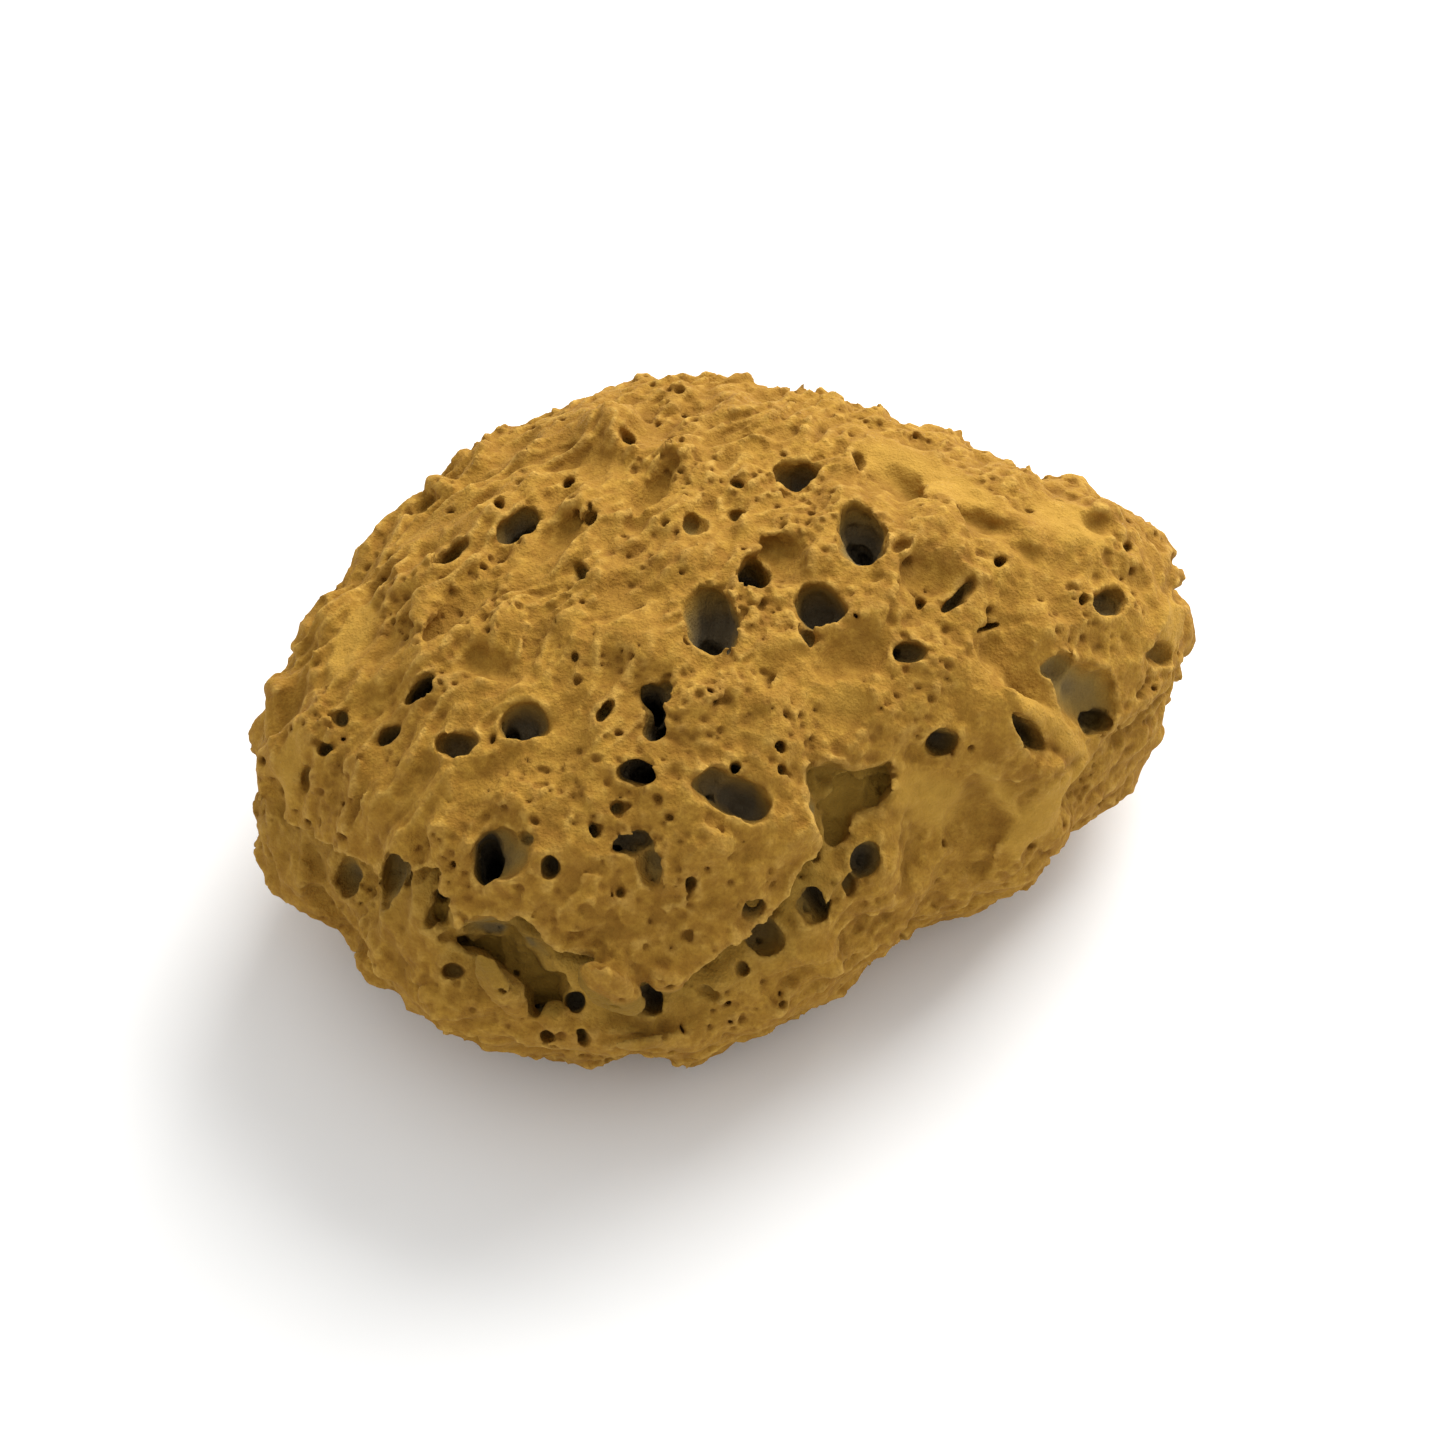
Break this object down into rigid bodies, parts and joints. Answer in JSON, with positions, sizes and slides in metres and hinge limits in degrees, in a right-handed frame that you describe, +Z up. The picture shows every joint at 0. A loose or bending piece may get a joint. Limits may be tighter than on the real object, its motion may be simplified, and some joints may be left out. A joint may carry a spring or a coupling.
{
  "type": "natural sea sponge",
  "caption": "Dried natural sea sponge: a rounded, pitted, honey-brown loaf with deep round holes and a torn ledge, cut flat underneath so that it rests level.",
  "frame": {"origin": "on the flat cut base, below the middle of the body", "axes": "+Z up from the flat cut, X along the long way of the sponge with the narrow notched end at +X, the torn ledge facing -Y"},
  "size_m": [0.1496, 0.1234, 0.067],
  "materials": {
    "dried_sponge": "matt felted fibre, honey to ochre, grey-brown inside the deep holes"
  },
  "bodies": {
    "root": {"sponge": "dried_sponge"}
  },
  "joints": []
}
